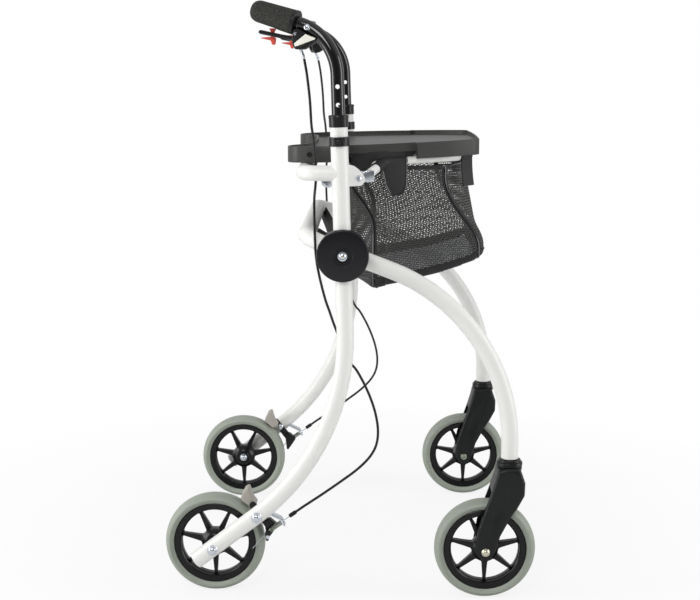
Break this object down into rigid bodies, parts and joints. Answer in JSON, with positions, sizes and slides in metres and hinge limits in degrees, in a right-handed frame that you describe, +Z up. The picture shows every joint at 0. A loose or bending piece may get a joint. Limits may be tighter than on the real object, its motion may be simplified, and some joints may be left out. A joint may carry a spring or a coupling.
{
  "type": "indoor rollator",
  "caption": "Four-wheeled indoor walking aid with a tray and mesh basket, folding front legs, height-adjustable handles, swivelling front wheels and cable brakes.",
  "frame": {"origin": "on the floor, midway between the front and rear axles, on the plane of symmetry", "axes": "+X forward in the walking direction, +Y to the user's left, +Z up"},
  "size_m": [0.553, 0.559, 0.8704],
  "materials": {
    "white_tube": "satin white powder coat on round steel tube",
    "black_tube": "glossy black paint",
    "black_plastic": "satin black moulded plastic",
    "foam": "fine-grained closed-cell foam",
    "tyre": "smooth grey-green solid tyre",
    "steel": "zinc-plated steel",
    "red_plastic": "red moulded plastic",
    "shoe_rubber": "warm grey cast brake shoe",
    "mesh_cloth": "black open mesh with bound edges",
    "webbing": "black woven webbing"
  },
  "bodies": {
    "rear_frame": {"rear_crossbar": "white_tube", "rear_leg_right": "white_tube", "brake_cable_right": "black_plastic", "collar_right": "black_plastic", "button_band_right": "black_plastic", "hinge_disc_right": "black_plastic", "pivot_bolt_right": "steel", "rear_axle_right": "steel", "brake_bolt_right": "steel", "cable_stop_right": "steel", "brake_spring_right": "steel", "support_screw_right": "steel", "rear_leg_left": "white_tube", "brake_cable_left": "black_plastic", "collar_left": "black_plastic", "button_band_left": "black_plastic", "hinge_disc_left": "black_plastic", "pivot_bolt_left": "steel", "rear_axle_left": "steel", "brake_bolt_left": "steel", "cable_stop_left": "steel", "brake_spring_left": "steel", "support_screw_left": "steel"},
    "front_frame": {"front_frame": "white_tube", "pull_strap": "webbing"},
    "basket_frame": {"support_loop": "white_tube", "basket": "mesh_cloth"},
    "tray": {"tray": "black_plastic"},
    "rear_wheel_right": {"rear_tyre_right": "tyre", "rear_rim_right": "black_plastic"},
    "caster_right": {"fork_right": "black_plastic", "caster_stem_right": "steel", "front_axle_right": "steel"},
    "front_wheel_right": {"front_tyre_right": "tyre", "front_rim_right": "black_plastic"},
    "handle_right": {"handle_tube_right": "black_tube", "grip_right": "foam", "brake_bracket_right": "black_plastic", "lever_pin_right": "steel"},
    "brake_lever_right": {"brake_lever_right": "black_tube"},
    "parking_lock_right": {"parking_lock_right": "red_plastic"},
    "height_button_right": {"height_button_right": "black_plastic"},
    "brake_arm_right": {"brake_arm_right": "black_plastic", "brake_shoe_right": "shoe_rubber"},
    "rear_wheel_left": {"rear_tyre_left": "tyre", "rear_rim_left": "black_plastic"},
    "caster_left": {"fork_left": "black_plastic", "caster_stem_left": "steel", "front_axle_left": "steel"},
    "front_wheel_left": {"front_tyre_left": "tyre", "front_rim_left": "black_plastic"},
    "handle_left": {"handle_tube_left": "black_tube", "grip_left": "foam", "brake_bracket_left": "black_plastic", "lever_pin_left": "steel"},
    "brake_lever_left": {"brake_lever_left": "black_tube"},
    "parking_lock_left": {"parking_lock_left": "red_plastic"},
    "height_button_left": {"height_button_left": "black_plastic"},
    "brake_arm_left": {"brake_arm_left": "black_plastic", "brake_shoe_left": "shoe_rubber"}
  },
  "joints": [
    {"name": "front_fold", "type": "hinge", "parent": "rear_frame", "child": "front_frame", "pos_m": [-0.00868, 0, 0.51499], "axis": [0, 1, 0], "range_deg": [0, 27]},
    {"name": "basket_fold", "type": "hinge", "parent": "rear_frame", "child": "basket_frame", "pos_m": [0.01354, 0, 0.6237], "axis": [0, -1, 0], "range_deg": [0, 57]},
    {"name": "tray_lift", "type": "slide", "parent": "rear_frame", "child": "tray", "axis": [0, 0, 1], "range_m": [0, 0.2]},
    {"name": "rear_wheel_right_spin", "type": "hinge", "parent": "rear_frame", "child": "rear_wheel_right", "pos_m": [-0.2015, -0.224, 0.075], "axis": [0, 1, 0], "continuous": true},
    {"name": "caster_right_swivel", "type": "hinge", "parent": "front_frame", "child": "caster_right", "pos_m": [0.236, -0.2455, 0.2115], "axis": [0, 0, 1], "continuous": true},
    {"name": "front_wheel_right_spin", "type": "hinge", "parent": "caster_right", "child": "front_wheel_right", "pos_m": [0.2015, -0.2455, 0.075], "axis": [0, 1, 0], "continuous": true},
    {"name": "handle_right_height", "type": "slide", "parent": "rear_frame", "child": "handle_right", "axis": [-0.0302, 0, 0.9995], "range_m": [-0.0508, 0.0762], "deforming": ["brake_cable_right"]},
    {"name": "height_button_right_press", "type": "slide", "parent": "rear_frame", "child": "height_button_right", "axis": [0, 1, 0], "range_m": [0, 0.003], "stiffness_N_per_m": 600, "springref_m": -0.002},
    {"name": "brake_lever_right_squeeze", "type": "hinge", "parent": "handle_right", "child": "brake_lever_right", "pos_m": [-0.07085, -0.23782, 0.82435], "axis": [0.309, 0.9511, 0], "range_deg": [0, 4.5], "stiffness_Nm_per_rad": 2, "springref_deg": -5.73},
    {"name": "parking_lock_right_turn", "type": "hinge", "parent": "brake_lever_right", "child": "parking_lock_right", "pos_m": [-0.10645, -0.21826, 0.82455], "axis": [0.309, 0.9511, 0], "range_deg": [-20, 0]},
    {"name": "brake_arm_right_turn", "type": "hinge", "parent": "rear_frame", "child": "brake_arm_right", "pos_m": [-0.13574, -0.238, 0.12564], "axis": [0, -1, 0], "range_deg": [0, 2.25], "deforming": ["brake_spring_right"]},
    {"name": "rear_wheel_left_spin", "type": "hinge", "parent": "rear_frame", "child": "rear_wheel_left", "pos_m": [-0.2015, 0.224, 0.075], "axis": [0, 1, 0], "continuous": true},
    {"name": "caster_left_swivel", "type": "hinge", "parent": "front_frame", "child": "caster_left", "pos_m": [0.236, 0.2455, 0.2115], "axis": [0, 0, 1], "continuous": true},
    {"name": "front_wheel_left_spin", "type": "hinge", "parent": "caster_left", "child": "front_wheel_left", "pos_m": [0.2015, 0.2455, 0.075], "axis": [0, 1, 0], "continuous": true},
    {"name": "handle_left_height", "type": "slide", "parent": "rear_frame", "child": "handle_left", "axis": [-0.0302, 0, 0.9995], "range_m": [-0.0508, 0.0762], "deforming": ["brake_cable_left"]},
    {"name": "height_button_left_press", "type": "slide", "parent": "rear_frame", "child": "height_button_left", "axis": [0, -1, 0], "range_m": [0, 0.003], "stiffness_N_per_m": 600, "springref_m": -0.002},
    {"name": "brake_lever_left_squeeze", "type": "hinge", "parent": "handle_left", "child": "brake_lever_left", "pos_m": [-0.07085, 0.23782, 0.82435], "axis": [-0.309, 0.9511, 0], "range_deg": [0, 4.5], "stiffness_Nm_per_rad": 2, "springref_deg": -5.73},
    {"name": "parking_lock_left_turn", "type": "hinge", "parent": "brake_lever_left", "child": "parking_lock_left", "pos_m": [-0.10645, 0.21826, 0.82455], "axis": [-0.309, 0.9511, 0], "range_deg": [-20, 0]},
    {"name": "brake_arm_left_turn", "type": "hinge", "parent": "rear_frame", "child": "brake_arm_left", "pos_m": [-0.13574, 0.238, 0.12564], "axis": [0, -1, 0], "range_deg": [0, 2.25], "deforming": ["brake_spring_left"]}
  ],
  "couplings": [
    {"joint": "tray_lift", "follows": "basket_fold", "m_per_rad": 0.2},
    {"joint": "brake_arm_right_turn", "follows": "brake_lever_right_squeeze", "ratio": 0.4889},
    {"joint": "brake_arm_left_turn", "follows": "brake_lever_left_squeeze", "ratio": 0.4889}
  ]
}
